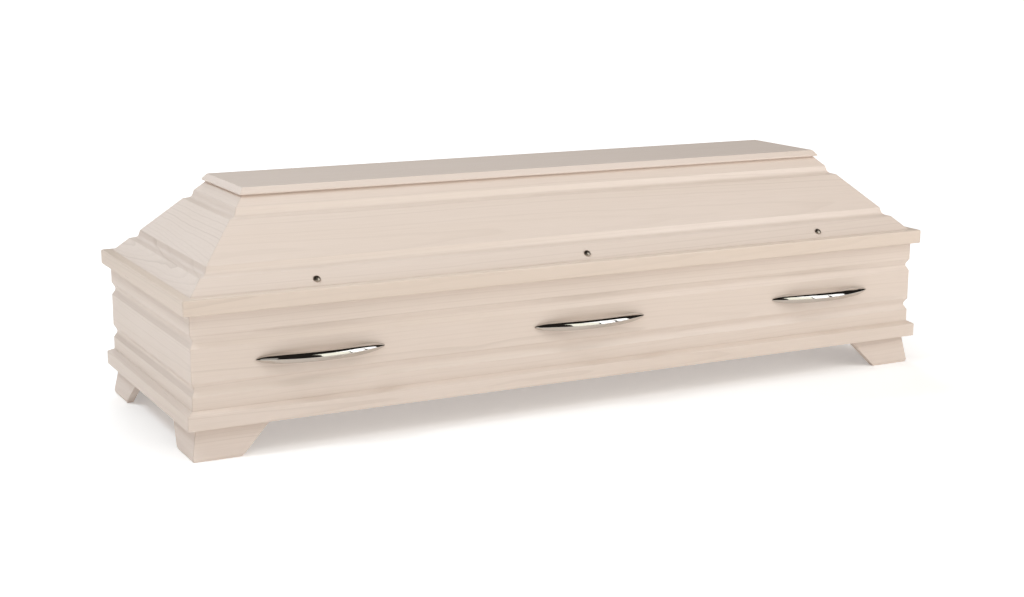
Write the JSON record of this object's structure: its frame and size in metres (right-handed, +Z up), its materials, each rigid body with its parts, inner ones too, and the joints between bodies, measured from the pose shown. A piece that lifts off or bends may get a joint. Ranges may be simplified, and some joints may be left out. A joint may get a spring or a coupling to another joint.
{
  "type": "wooden coffin",
  "caption": "Long rectangular coffin of white-glazed softwood boards with milled grooves, a hipped lift-off lid, splayed bracket feet and chromed bow handles.",
  "frame": {"origin": "on the floor under the middle of the coffin", "axes": "+X along the length, to the right seen from the pictured side; +Y to the hidden long side; +Z up"},
  "size_m": [2.05, 0.7348, 0.573],
  "materials": {
    "white_glazed_pine": "satin",
    "chromed_handle": "polished",
    "nickel_screw": "polished"
  },
  "bodies": {
    "root": {"base_floor": "white_glazed_pine", "base_side_front": "white_glazed_pine", "base_side_back": "white_glazed_pine", "base_end_left": "white_glazed_pine", "base_end_right": "white_glazed_pine", "plinth_front": "white_glazed_pine", "plinth_right": "white_glazed_pine", "plinth_back": "white_glazed_pine", "plinth_left": "white_glazed_pine", "foot_front_left_side": "white_glazed_pine", "foot_front_left_end": "white_glazed_pine", "foot_front_right_side": "white_glazed_pine", "foot_front_right_end": "white_glazed_pine", "foot_back_left_side": "white_glazed_pine", "foot_back_left_end": "white_glazed_pine", "foot_back_right_side": "white_glazed_pine", "foot_back_right_end": "white_glazed_pine", "lid_rim_front": "white_glazed_pine", "lid_rim_right": "white_glazed_pine", "lid_rim_back": "white_glazed_pine", "lid_rim_left": "white_glazed_pine", "lid_slope_front": "white_glazed_pine", "lid_slope_right": "white_glazed_pine", "lid_slope_back": "white_glazed_pine", "lid_slope_left": "white_glazed_pine", "lid_top_board": "white_glazed_pine", "handle_front_1": "chromed_handle", "handle_front_2": "chromed_handle", "handle_front_3": "chromed_handle", "handle_back_1": "chromed_handle", "handle_back_2": "chromed_handle", "handle_back_3": "chromed_handle", "lid_screw_front_1": "nickel_screw", "lid_screw_front_2": "nickel_screw", "lid_screw_front_3": "nickel_screw", "lid_screw_back_1": "nickel_screw", "lid_screw_back_2": "nickel_screw", "lid_screw_back_3": "nickel_screw"}
  },
  "joints": []
}
